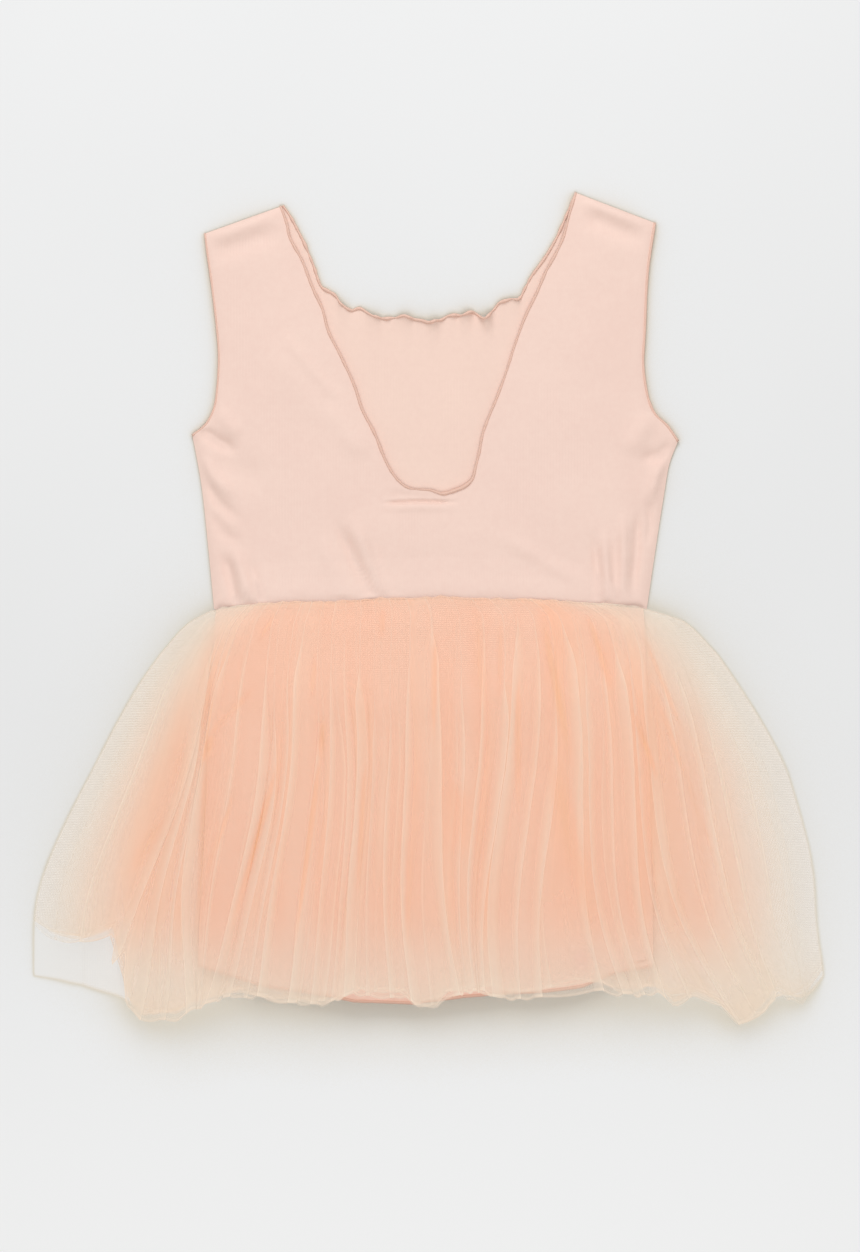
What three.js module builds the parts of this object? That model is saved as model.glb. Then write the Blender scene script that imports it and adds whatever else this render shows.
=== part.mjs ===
import * as THREE from 'three';

// A child's dress laid flat on its front: a sleeveless jersey bodice with a low back neck and a scooped
// front neck, and a gathered skirt of three tulle layers over a straight jersey slip.
// Sizes are in millimetres. X runs across, Y up to the shoulders, Z up from the surface the dress lies on.

// Cloth and seams
const JERSEY_WALL = 1.2;
const NET_WALL = 1.0;
const SLIP_WALL = 1.0;
const SEAM_GAP = 0.3;

// Bodice heights
const WAIST_LIFT = 1.9;
const WAIST_LIFT_REACH = 25;
const WAIST_HOLLOW = 2.9;
const WAIST_HOLLOW_REACH = 32;
const HALF_WAIST = 130;
const SIDE_SEAM_EASE = 22;
const BACK_PUFF = 1.7;
const NECK_RUFFLE_REACH = 0.14;

// Grid of a bodice panel: points between two stations, and shares of the way from neck to outer edge
const STATION_STEPS = 4;
const BODICE_ROWS = [0, 0.14, 0.4, 0.7, 0.9, 1];

// Stations round the bodice, from the left shoulder past the waist to the right shoulder. Each has a point
// on the outer edge, one on the low back neck and one on the front scoop. A corner ends a stretch of edge.
const STATIONS = [
  { edge: [-135, 226.2], back: [-89.4, 242.5], scoop: [-88, 243], corner: true },
  { edge: [-130.8, 195], back: [-84.3, 224], scoop: [-79.8, 229.6] },
  { edge: [-126.6, 158], back: [-70, 193], scoop: [-69.6, 207] },
  { edge: [-128.6, 126], back: [-60.5, 166], scoop: [-64.8, 194.2] },
  { edge: [-142.6, 104.6], back: [-44.4, 133], scoop: [-56.2, 188.8], corner: true },
  { edge: [-137, 73.8], back: [-32.8, 105.7], scoop: [-48.7, 180.8] },
  { edge: [-132.8, 35], back: [-25.3, 87.5], scoop: [-31.6, 177.1] },
  { edge: [-129.5, 0], back: [-18.9, 77.8], scoop: [-27.2, 174.4], corner: true },
  { edge: [-78, 0], back: [-12.5, 73], scoop: [-12.2, 176] },
  { edge: [-4, 0], back: [1.4, 71.4], scoop: [0.6, 172.8] },
  { edge: [66, 0], back: [14.3, 70.9], scoop: [21.4, 177.6] },
  { edge: [131.2, 0], back: [26.1, 78.4], scoop: [34.2, 175.4], corner: true },
  { edge: [136, 33], back: [29.9, 95], scoop: [42.8, 184.6] },
  { edge: [141.4, 67.8], back: [34.7, 112.2], scoop: [53.5, 186.1] },
  { edge: [150, 101], back: [46.4, 142.2], scoop: [61, 199.6], corner: true },
  { edge: [130.4, 130], back: [58.2, 176.4], scoop: [69.6, 211.3] },
  { edge: [129.6, 165], back: [69.6, 201.7], scoop: [78, 225.4] },
  { edge: [131.8, 204], back: [80.3, 222], scoop: [84.1, 240] },
  { edge: [136, 232.6], back: [88.4, 250.8], scoop: [88.4, 250.8], corner: true },
];
const WAIST_START = 7;
const WAIST_END = 11;

// Height of the waist seam across the dress
const WAIST_LINE = [
  { across: -132, height: -1 },
  { across: -110, height: 1.6 },
  { across: -80, height: 3.6 },
  { across: -45, height: 4.2 },
  { across: -15, height: 5.4 },
  { across: 9, height: 6.6 },
  { across: 40, height: 5.4 },
  { across: 75, height: 4.4 },
  { across: 105, height: 2.4 },
  { across: 132, height: 0 },
];

// Waves of the stretched front neck edge: place across, reach to each side, rise and dip of the edge
const NECK_RUFFLES = [
  { across: -44, reach: 8, rise: 1.6, dip: 1.0 },
  { across: -29, reach: 7, rise: 3.0, dip: 1.5 },
  { across: -14, reach: 7, rise: 2.0, dip: -1.0 },
  { across: 1, reach: 8, rise: 3.4, dip: 1.6 },
  { across: 15, reach: 7, rise: 1.8, dip: -1.2 },
  { across: 32, reach: 8, rise: 3.2, dip: 2.0 },
  { across: 44, reach: 6, rise: 1.4, dip: -1.0 },
];

// Soft ridges of the back: line from start to end, reach to each side and rise
const BACK_FOLDS = [
  { start: [-130, 221], end: [-92, 235], reach: 9, rise: 1.3 },
  { start: [92, 243], end: [131, 228], reach: 9, rise: 1.3 },
  { start: [-139, 108], end: [-104, 92], reach: 11, rise: 1.5 },
  { start: [-136, 84], end: [-112, 64], reach: 11, rise: 1.2 },
  { start: [-76, 168], end: [-50, 128], reach: 12, rise: 0.9 },
  { start: [-118, 44], end: [-108, 6], reach: 9, rise: 1.2 },
  { start: [-50, 38], end: [-36, 8], reach: 10, rise: 1.3 },
  { start: [-28, 61], end: [18, 60], reach: 8, rise: 1.2 },
  { start: [94, 40], end: [98, 6], reach: 9, rise: 1.1 },
  { start: [118, 52], end: [116, 6], reach: 9, rise: 1.3 },
  { start: [142, 96], end: [128, 60], reach: 10, rise: 1.2 },
];

// Skirt sides at each distance below the waist. The first rows are the skirt's own grid rows.
const SKIRT_SIDES = [
  { down: 0, left: -131.2, right: 131.4 },
  { down: 12, left: -149.5, right: 160 },
  { down: 45, left: -174.8, right: 186.2 },
  { down: 95, left: -201.8, right: 215.2 },
  { down: 140, left: -224.5, right: 228.3 },
  { down: 175, left: -237.1, right: 232.7 },
  { down: 220, left: -238.4, right: 238.4 },
  { down: 260, left: -238.4, right: 238.4 },
];
const SHARED_ROWS = 6;
const WAIST_SWAY_REACH = 45;

// Gathers across the skirt from left to right: share of the width, and how far the crest rises in its slot
const GATHERS = [
  { width: 0.9, rise: 0.7 },
  { width: 1.15, rise: 1.0 },
  { width: 0.85, rise: 0.6 },
  { width: 1.1, rise: 0.95 },
  { width: 0.95, rise: 0.75 },
  { width: 1.2, rise: 1.0 },
  { width: 0.8, rise: 0.65 },
  { width: 1.0, rise: 0.9 },
  { width: 1.1, rise: 0.8 },
  { width: 0.85, rise: 1.0 },
  { width: 1.05, rise: 0.7 },
  { width: 1.15, rise: 0.95 },
  { width: 0.9, rise: 0.6 },
  { width: 1.0, rise: 0.85 },
];
const GATHER_SHAPE = [0, 0.62, 1, 0.5];
const NET_COLUMNS = GATHERS.length * GATHER_SHAPE.length;

// Loft of the skirt: free height of a net layer below and above the slip
const LOWER_LOFT = 1.2;
const UPPER_LOFT = 3.4;
const LOFT_REACH = 60;
const DOME_POWER = 2.5;
const HEM_EASE_START = 140;
const HEM_EASE_LENGTH = 400;
const HEM_GAP_START = 175;
const HEM_GAP_SLOPE = 0.5 / 75;

// Net layers in the order they lie, from the surface up, with the two slip layers between the fronts and
// the backs. inset is the columns left out at each side, shift moves the gathers on by grid columns.
const NET_LAYERS = [
  { name: 'tulle_outer_front', inset: 0, loft: LOWER_LOFT, shift: 1, shorter: 0, hem: 'far' },
  { name: 'tulle_middle_front', inset: 1, loft: LOWER_LOFT, shift: 3, shorter: 3, hem: 'inner' },
  { name: 'tulle_inner_front', inset: 3, loft: LOWER_LOFT, shift: 6, shorter: 4.5, hem: 'inner' },
  { name: 'tulle_inner_back', inset: 3, loft: UPPER_LOFT, shift: 5, shorter: 3.5, hem: 'inner' },
  { name: 'tulle_middle_back', inset: 1, loft: UPPER_LOFT, shift: 2, shorter: 2, hem: 'inner' },
  { name: 'tulle_outer_back', inset: 0, loft: UPPER_LOFT, shift: 0, shorter: 0, hem: 'near' },
];
const LAYERS_BELOW_SLIP = 3;
const INNER_HEM_SWAY = 1;
const INNER_HEM_PITCH = 41;

// Uneven net hems: distance below the waist at each place across, of the upper and of the lowest layer
const NET_HEM = [
  { across: -238.4, near: 190, far: 220 },
  { across: -226, near: 197, far: 221.5 },
  { across: -207, near: 200.5, far: 229 },
  { across: -189, near: 193, far: 232 },
  { across: -181, near: 237, far: 234 },
  { across: -173, near: 246, far: 243 },
  { across: -150, near: 244, far: 241 },
  { across: -142, near: 238, far: 235 },
  { across: -113, near: 231, far: 228 },
  { across: -82, near: 236, far: 233 },
  { across: -64, near: 237, far: 234 },
  { across: -45, near: 229, far: 226 },
  { across: -14, near: 229, far: 226 },
  { across: 4, near: 237, far: 234 },
  { across: 43, near: 232, far: 229 },
  { across: 79, near: 228.4, far: 225.4 },
  { across: 103, near: 225.7, far: 222.7 },
  { across: 120, near: 231.2, far: 228.2 },
  { across: 137, near: 224, far: 228 },
  { across: 146, near: 234, far: 236 },
  { across: 159, near: 230.5, far: 227.5 },
  { across: 174, near: 237, far: 234 },
  { across: 183, near: 251, far: 248 },
  { across: 199, near: 242, far: 239 },
  { across: 212, near: 230, far: 227 },
  { across: 224, near: 236, far: 233 },
  { across: 230, near: 230, far: 227 },
  { across: 238.4, near: 220, far: 217 },
];

// Straight slip under the net: its sides at each distance below the waist, and its hem
const SLIP_SIDES = [
  { down: 0, left: -116, right: 117 },
  { down: 12, left: -126, right: 127 },
  { down: 45, left: -130, right: 130 },
  { down: 95, left: -133, right: 132 },
  { down: 140, left: -135, right: 133 },
  { down: 175, left: -137, right: 134 },
  { down: 240, left: -140, right: 135 },
];
const SLIP_HEM = [
  { across: -140, down: 213.6 },
  { across: -100, down: 226 },
  { across: -60, down: 233 },
  { across: -9, down: 236.3 },
  { across: 45, down: 230 },
  { across: 100, down: 223 },
  { across: 135, down: 219 },
];
const SLIP_COLUMNS = 22;
const SLIP_BLOCK = 3.9;
const SLIP_REST = 0.45;
const SLIP_PUFF = 0.4;
const SLIP_FRONT_SHORTER = 4;
const SLIP_CLEAR_OUTSIDE = 9;
const SLIP_GONE_OUTSIDE = 39;
const SLIP_CLOSE_COLUMNS = 3;

// Cloth colours
const JERSEY_FACE = 0xf1d6c8;
const JERSEY_INSIDE = 0xf3d8ca;
const SLIP_PINK = 0xe9bda8;
const NET_PEACH = 0xf0cdb4;

// Value of a column of a table at a place, straight between its rows
function readTable(table, key, place, column) {
  const last = table.length - 1;
  if (place <= table[0][key]) return table[0][column];
  if (place >= table[last][key]) return table[last][column];
  const next = table.findIndex((row) => row[key] > place);
  const from = table[next - 1];
  const to = table[next];
  const share = (place - from[key]) / (to[key] - from[key]);
  return THREE.MathUtils.lerp(from[column], to[column], share);
}

// Share of a bump of unit height at a distance from its middle
function bump(distance, reach) {
  const share = Math.min(1, Math.abs(distance) / reach);
  return 0.5 * (1 + Math.cos(Math.PI * share));
}

// A closed wall of cloth over a grid: its top, its underside and the rims along its four edges.
// place gives each grid point's x and y and the heights of its underside and top.
function clothWall(name, columns, rows, color, place) {
  const positions = [];
  for (let row = 0; row <= rows; row++) {
    for (let column = 0; column <= columns; column++) {
      const point = place(column, row);
      positions.push(point.x, point.y, point.high);
      positions.push(point.x, point.y, point.low);
    }
  }
  const top = (column, row) => 2 * (row * (columns + 1) + column);
  const under = (column, row) => top(column, row) + 1;
  const faces = [];
  const quad = (a, b, c, d) => faces.push(a, b, c, a, c, d);
  for (let row = 0; row < rows; row++) {
    for (let column = 0; column < columns; column++) {
      const right = column + 1;
      const below = row + 1;
      quad(top(column, row), top(column, below), top(right, below), top(right, row));
      quad(under(right, below), under(column, below), under(column, row), under(right, row));
    }
  }
  for (let column = 0; column < columns; column++) {
    const right = column + 1;
    quad(top(column, 0), top(right, 0), under(right, 0), under(column, 0));
    quad(top(right, rows), top(column, rows), under(column, rows), under(right, rows));
  }
  for (let row = 0; row < rows; row++) {
    const below = row + 1;
    quad(top(0, below), top(0, row), under(0, row), under(0, below));
    quad(top(columns, row), top(columns, below), under(columns, below), under(columns, row));
  }
  const geometry = new THREE.BufferGeometry();
  geometry.setAttribute('position', new THREE.Float32BufferAttribute(positions, 3));
  geometry.setIndex(faces);
  geometry.computeVertexNormals();
  const material = new THREE.MeshStandardMaterial({ color, roughness: 0.9, metalness: 0 });
  const mesh = new THREE.Mesh(geometry, material);
  mesh.name = name;
  return mesh;
}

// A smooth curve through one column of the station rows from first to last
function stationCurve(column, first, last) {
  const points = STATIONS.slice(first, last + 1).map((station) => {
    const [x, y] = station[column];
    return new THREE.Vector3(x, y, 0);
  });
  return new THREE.CatmullRomCurve3(points, false, 'centripetal');
}

// The outer edge as smooth stretches between its corners
const CORNERS = STATIONS.flatMap((station, index) => (station.corner ? [index] : []));
const EDGE_STRETCHES = CORNERS.slice(1).map((last, index) => {
  const first = CORNERS[index];
  return { first, last, curve: stationCurve('edge', first, last) };
});
const BACK_NECK = stationCurve('back', 0, STATIONS.length - 1);
const FRONT_NECK = stationCurve('scoop', 0, STATIONS.length - 1);

function waistHeight(across) {
  return readTable(WAIST_LINE, 'across', across, 'height');
}

// Point of the bodice's outer edge at a station number, along the waist seam where it runs there
function edgePoint(station) {
  const stretch = EDGE_STRETCHES.find(({ last }) => station <= last);
  const share = (station - stretch.first) / (stretch.last - stretch.first);
  const point = stretch.curve.getPoint(share);
  if (station >= WAIST_START && station <= WAIST_END) point.y = waistHeight(point.x) + SEAM_GAP / 2;
  return point;
}

// Fades from 0 at the side seams to 1 well inside them
function insideSides(x) {
  return THREE.MathUtils.smoothstep(HALF_WAIST - Math.abs(x), 0, SIDE_SEAM_EASE);
}

// Lift of the front panel to the middle of the skirt's seam
function frontLift(x, y) {
  const above = y - waistHeight(x);
  return WAIST_LIFT * Math.max(0, 1 - above / WAIST_LIFT_REACH) * insideSides(x);
}

// Height of the soft ridges of the back at a point
function foldRise(x, y) {
  const point = new THREE.Vector3(x, y, 0);
  const nearest = new THREE.Vector3();
  let rise = 0;
  for (const fold of BACK_FOLDS) {
    const line = new THREE.Line3(new THREE.Vector3(...fold.start, 0), new THREE.Vector3(...fold.end, 0));
    line.closestPointToPoint(point, true, nearest);
    rise = Math.max(rise, fold.rise * bump(nearest.distanceTo(point), fold.reach));
  }
  return rise;
}

// Grid point of a bodice panel between its neck curve and the outer edge
function bodicePoint(neck, column, row) {
  const station = column / STATION_STEPS;
  const neckPoint = neck.getPoint(station / (STATIONS.length - 1));
  return neckPoint.lerp(edgePoint(station), BODICE_ROWS[row]);
}

function bodicePanel(name, color, place) {
  const columns = STATION_STEPS * (STATIONS.length - 1);
  return clothWall(name, columns, BODICE_ROWS.length - 1, color, place);
}

// The front lies on the surface, face down, with its scooped neck edge in loose waves
function bodiceFront() {
  return bodicePanel('bodice_front', JERSEY_INSIDE, (column, row) => {
    const { x, y } = bodicePoint(FRONT_NECK, column, row);
    const atNeck = Math.max(0, 1 - BODICE_ROWS[row] / NECK_RUFFLE_REACH);
    let low = frontLift(x, y);
    let dip = 0;
    for (const ruffle of NECK_RUFFLES) {
      const share = atNeck * bump(x - ruffle.across, ruffle.reach);
      low += ruffle.rise * share;
      dip += ruffle.dip * share;
    }
    return { x, y: y - dip, low, high: low + JERSEY_WALL };
  });
}

// The back lies on the front, a little puffed inside its seams and lifted to the skirt at the waist
function bodiceBack() {
  return bodicePanel('bodice_back', JERSEY_FACE, (column, row) => {
    const { x, y } = bodicePoint(BACK_NECK, column, row);
    const share = BODICE_ROWS[row];
    const puff = BACK_PUFF * Math.sin(Math.PI * share);
    const above = y - waistHeight(x);
    const atWaist = 1 - THREE.MathUtils.smoothstep(above, 0, WAIST_HOLLOW_REACH);
    const hollow = WAIST_HOLLOW * atWaist * insideSides(x);
    const stitched = row === BODICE_ROWS.length - 1 ? 0 : 1;
    const rise = Math.max(puff, hollow) + stitched * foldRise(x, y);
    const low = frontLift(x, y) + JERSEY_WALL + SEAM_GAP + rise;
    return { x, y, low, high: low + JERSEY_WALL };
  });
}

// Shares across the skirt of the net's grid columns, a few to each gather
function columnShares() {
  const total = GATHERS.reduce((sum, gather) => sum + gather.width, 0);
  const shares = [0];
  for (const gather of GATHERS) {
    for (let step = 0; step < GATHER_SHAPE.length; step++) {
      shares.push(shares[shares.length - 1] + gather.width / (total * GATHER_SHAPE.length));
    }
  }
  return shares;
}
const COLUMN_SHARES = columnShares();

// Place across of a net column at a distance below the waist
function netAcross(column, down) {
  const left = readTable(SKIRT_SIDES, 'down', down, 'left');
  const right = readTable(SKIRT_SIDES, 'down', down, 'right');
  return THREE.MathUtils.lerp(left, right, COLUMN_SHARES[column]);
}

// The waist seam's curve fades out a little way down the skirt
function skirtHeight(waistAcross, down) {
  const sway = waistHeight(waistAcross) - SEAM_GAP / 2;
  return sway * Math.max(0, 1 - down / WAIST_SWAY_REACH) - down;
}

// Free height that a layer of a given loft has at a column and distance below the waist
function loftAt(loft, column, down) {
  const side = Math.abs(2 * COLUMN_SHARES[column] - 1);
  const dome = 1 - side ** DOME_POWER;
  const ease = 1 - Math.max(0, down - HEM_EASE_START) / HEM_EASE_LENGTH;
  return loft * dome * ease * THREE.MathUtils.smoothstep(down, 0, LOFT_REACH);
}

function layerGap(down) {
  return SEAM_GAP + Math.max(0, down - HEM_GAP_START) * HEM_GAP_SLOPE;
}

// Height that the two slip layers take up between the nets
function slipHeight(column, down) {
  const across = netAcross(column, down);
  const left = readTable(SLIP_SIDES, 'down', down, 'left');
  const right = readTable(SLIP_SIDES, 'down', down, 'right');
  const outside = Math.max(left - across, across - right);
  const ease = 1 - THREE.MathUtils.smoothstep(outside, SLIP_CLEAR_OUTSIDE, SLIP_GONE_OUTSIDE);
  const fromSide = Math.min(column, NET_COLUMNS - column);
  return SLIP_BLOCK * ease * Math.min(1, fromSide / SLIP_CLOSE_COLUMNS);
}

// Height at which a net layer's slot starts: everything that lies under it at this place
function slotStart(index, column, down) {
  let height = index >= LAYERS_BELOW_SLIP ? slipHeight(column, down) : 0;
  for (const layer of NET_LAYERS.slice(0, index)) {
    if (column < layer.inset || column > NET_COLUMNS - layer.inset) continue;
    height += NET_WALL + layerGap(down) + loftAt(layer.loft, column, down);
  }
  return height;
}

// Rise of a layer's gathers inside its slot
function gatherRise(layer, column, down) {
  const step = column + layer.shift;
  const gather = GATHERS[Math.floor(step / GATHER_SHAPE.length) % GATHERS.length];
  const shape = GATHER_SHAPE[step % GATHER_SHAPE.length];
  return gather.rise * shape * loftAt(layer.loft, column, down);
}

// Distance from the waist to a net layer's hem
function netHem(layer, across) {
  const near = readTable(NET_HEM, 'across', across, 'near');
  const far = readTable(NET_HEM, 'across', across, 'far');
  if (layer.hem === 'near') return near;
  if (layer.hem === 'far') return far;
  const sway = INNER_HEM_SWAY * Math.sin((2 * Math.PI * across) / INNER_HEM_PITCH + layer.shift);
  return near - layer.shorter + sway;
}

// One layer of net from side to side, gathered at the waist
function netPanel(layer, index) {
  const columns = NET_COLUMNS - 2 * layer.inset;
  return clothWall(layer.name, columns, SHARED_ROWS, NET_PEACH, (step, row) => {
    const column = step + layer.inset;
    const hemAcross = netAcross(column, HEM_GAP_START);
    const atHem = row === SHARED_ROWS;
    const down = atHem ? netHem(layer, hemAcross) : SKIRT_SIDES[row].down;
    const low = slotStart(index, column, down) + gatherRise(layer, column, down);
    return {
      x: netAcross(column, down),
      y: skirtHeight(netAcross(column, 0), down),
      low,
      high: low + NET_WALL,
    };
  });
}

// Height of the top of the nets under the slip at any place across
function slipBed(across, down) {
  let column = 1;
  while (column < NET_COLUMNS && netAcross(column, down) < across) column += 1;
  const from = netAcross(column - 1, down);
  const share = (across - from) / (netAcross(column, down) - from);
  const low = slotStart(LAYERS_BELOW_SLIP, column - 1, down) - slipHeight(column - 1, down);
  const high = slotStart(LAYERS_BELOW_SLIP, column, down) - slipHeight(column, down);
  return THREE.MathUtils.lerp(low, high, share);
}

// One layer of the straight slip, the back one a little above the front one
function slipPanel(name, isBack) {
  return clothWall(name, SLIP_COLUMNS, SHARED_ROWS, SLIP_PINK, (step, row) => {
    const share = step / SLIP_COLUMNS;
    const hemLeft = SLIP_HEM[0].across;
    const hemRight = SLIP_HEM[SLIP_HEM.length - 1].across;
    const hemAcross = THREE.MathUtils.lerp(hemLeft, hemRight, share);
    const shorter = isBack ? 0 : SLIP_FRONT_SHORTER;
    const hemDown = readTable(SLIP_HEM, 'across', hemAcross, 'down') - shorter;
    const down = row === SHARED_ROWS ? hemDown : SKIRT_SIDES[row].down;
    const left = readTable(SLIP_SIDES, 'down', down, 'left');
    const right = readTable(SLIP_SIDES, 'down', down, 'right');
    const x = THREE.MathUtils.lerp(left, right, share);
    const puff = SLIP_PUFF * Math.sin(Math.PI * share) * THREE.MathUtils.smoothstep(down, 0, LOFT_REACH);
    const above = isBack ? SLIP_WALL + SEAM_GAP + puff : 0;
    const low = slipBed(x, down) + SLIP_REST + above;
    return { x, y: skirtHeight(x, down), low, high: low + SLIP_WALL };
  });
}

const dress = new THREE.Group();
dress.name = 'mesh_dress';
dress.add(bodiceFront(), bodiceBack());
dress.add(slipPanel('lining_front', false), slipPanel('lining_back', true));
NET_LAYERS.forEach((layer, index) => dress.add(netPanel(layer, index)));

export default dress;
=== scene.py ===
import math
import random

import bmesh
import bpy
import numpy as np
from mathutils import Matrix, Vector, noise


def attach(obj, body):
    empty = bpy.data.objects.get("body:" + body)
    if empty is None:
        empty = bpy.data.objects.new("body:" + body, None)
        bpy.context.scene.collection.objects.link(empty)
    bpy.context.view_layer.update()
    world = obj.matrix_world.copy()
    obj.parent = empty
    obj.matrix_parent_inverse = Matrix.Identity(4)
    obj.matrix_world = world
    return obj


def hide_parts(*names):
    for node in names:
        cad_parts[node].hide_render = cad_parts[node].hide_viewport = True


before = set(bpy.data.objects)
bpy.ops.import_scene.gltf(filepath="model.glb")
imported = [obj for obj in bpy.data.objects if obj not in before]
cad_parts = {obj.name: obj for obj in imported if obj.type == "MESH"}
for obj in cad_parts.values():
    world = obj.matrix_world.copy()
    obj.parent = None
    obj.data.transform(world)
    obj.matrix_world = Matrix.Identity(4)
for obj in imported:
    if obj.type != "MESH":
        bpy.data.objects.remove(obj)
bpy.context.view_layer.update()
mm = 0.001  # the tables below are in millimetres, as a dressmaker writes them


# small helpers

def smooth(value, low, high):
    share = np.clip((value - low) / (high - low), 0.0, 1.0)
    return share * share * (3 - 2 * share)


def mix(a, b, share):
    return a + (b - a) * share


def read(table, key, column, value):
    return np.interp(value, table[key], table[column])


def curvePoint(points, place):
    # a smooth curve through all points, place counts them
    last = len(points) - 2
    i = min(int(place), last)
    b, c = Vector(points[i]), Vector(points[i + 1])
    a = Vector(points[i - 1]) if i > 0 else b * 2 - c
    d = Vector(points[i + 2]) if i < last else c * 2 - b
    before, here, after = (max((q - p).length, 1e-6) ** 0.5 for p, q in ((a, b), (b, c), (c, d)))
    leave = ((b - a) / before - (c - a) / (before + here) + (c - b) / here) * here
    reach = ((c - b) / here - (d - b) / (here + after) + (d - c) / after) * here
    t = place - i
    return (b * (2 * t**3 - 3 * t**2 + 1) + leave * (t**3 - 2 * t**2 + t)
            + c * (3 * t**2 - 2 * t**3) + reach * (t**3 - t**2))


def ripple(x, y, size, seed=0.0):
    return noise.noise(Vector((x / size, y / size, seed)))


ripples = np.vectorize(ripple)


def clothSheet(name, columns, rows, place, material):
    # a plane of cloth whose every point is put where place(across, along) says, in millimetres
    bm = bmesh.new()
    uv = bm.loops.layers.uv.new("UVMap")
    bmesh.ops.create_grid(bm, x_segments=columns, y_segments=rows, size=0.5, calc_uvs=True)
    spots = {}
    for v in bm.verts:
        across, along = v.co.x + 0.5, 0.5 - v.co.y
        point, cloth = place(across, along)
        spots[v] = cloth
        v.co = Vector(point) * mm
    for face in bm.faces:
        for loop in face.loops:
            loop[uv].uv = Vector(spots[loop.vert]) * mm
    for face in bm.faces:
        face.smooth = True
    bm.normal_update()
    mesh = bpy.data.meshes.new(name)
    bm.to_mesh(mesh)
    bm.free()
    mesh.materials.append(material)
    piece = bpy.data.objects.new(name, mesh)
    bpy.context.collection.objects.link(piece)
    return piece


def rolledEdge(name, path, radius, material, sides=8, uneven=0.2, thickness=((0, 1), (1, 1))):
    # a round thread-bound edge along a path of points in millimetres;
    # thickness pairs shares of the path with factors
    path = [Vector(p) for p in path]
    lengths = np.cumsum([0] + [(q - p).length for p, q in zip(path, path[1:])])
    rings = len(path) - 1
    bm = bmesh.new()
    uv = bm.loops.layers.uv.new("UVMap")
    bmesh.ops.create_grid(bm, x_segments=rings, y_segments=sides, size=0.5, calc_uvs=True)
    spots = {}
    for v in bm.verts:
        ring = round((v.co.x + 0.5) * rings)
        turn = round((v.co.y + 0.5) * sides)
        ahead = (path[min(ring + 1, rings)] - path[max(ring - 1, 0)]).normalized()
        side = ahead.cross(Vector((0, 0, 1))).normalized()
        up = side.cross(ahead)
        angle = 2 * math.pi * turn / sides
        swell = 1 + uneven * ripple(lengths[ring], 0, 5, radius) + 0.1 * ripple(lengths[ring], 3, 1.7)
        swell = radius * swell * float(np.interp(ring / rings, *zip(*thickness)))
        spots[v] = (lengths[ring], turn / sides * 2 * math.pi * radius)
        v.co = (path[ring] + (side * math.cos(angle) + up * math.sin(angle)) * swell) * mm
    for face in bm.faces:
        face.smooth = True
        for loop in face.loops:
            loop[uv].uv = Vector(spots[loop.vert]) * mm
    bmesh.ops.remove_doubles(bm, verts=bm.verts, dist=1e-6)
    bmesh.ops.holes_fill(bm, edges=[e for e in bm.edges if e.is_boundary], sides=sides)
    bmesh.ops.recalc_face_normals(bm, faces=bm.faces)
    mesh = bpy.data.meshes.new(name)
    bm.to_mesh(mesh)
    bm.free()
    mesh.materials.append(material)
    piece = bpy.data.objects.new(name, mesh)
    bpy.context.collection.objects.link(piece)
    return piece


# node helpers

def newMaterial(name):
    material = bpy.data.materials.new(name)
    material.use_nodes = True
    return material, material.node_tree, material.node_tree.nodes["Principled BSDF"]


def addNode(tree, kind, **values):
    node = tree.nodes.new(kind)
    for key, value in values.items():
        if key.startswith("in_"):
            node.inputs[key[3:].replace("_", " ")].default_value = value
        else:
            setattr(node, key, value)
    return node


def mathNode(tree, operation, a, b=None):
    node = addNode(tree, "ShaderNodeMath", operation=operation)
    for socket, value in zip(node.inputs, (a, b)):
        if value is None:
            continue
        if isinstance(value, (int, float)):
            socket.default_value = value
        else:
            tree.links.new(value, socket)
    return node.outputs[0]


def rangeNode(tree, value, *limits, **kind):
    # limits: from low, from high, to low, to high
    node = addNode(tree, "ShaderNodeMapRange", **kind)
    for socket, limit in zip(list(node.inputs)[1:5], limits):
        socket.default_value = limit
    tree.links.new(value, node.inputs[0])
    return node.outputs[0]


def mixColour(tree, share, a, b, blend="MIX"):
    node = addNode(tree, "ShaderNodeMix", data_type="RGBA", blend_type=blend)
    for socket, value in zip((node.inputs[0], node.inputs[6], node.inputs[7]), (share, a, b)):
        if isinstance(value, (int, float)):
            socket.default_value = value
        elif isinstance(value, tuple):
            socket.default_value = (*value, 1)
        else:
            tree.links.new(value, socket)
    return node.outputs[2]


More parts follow.
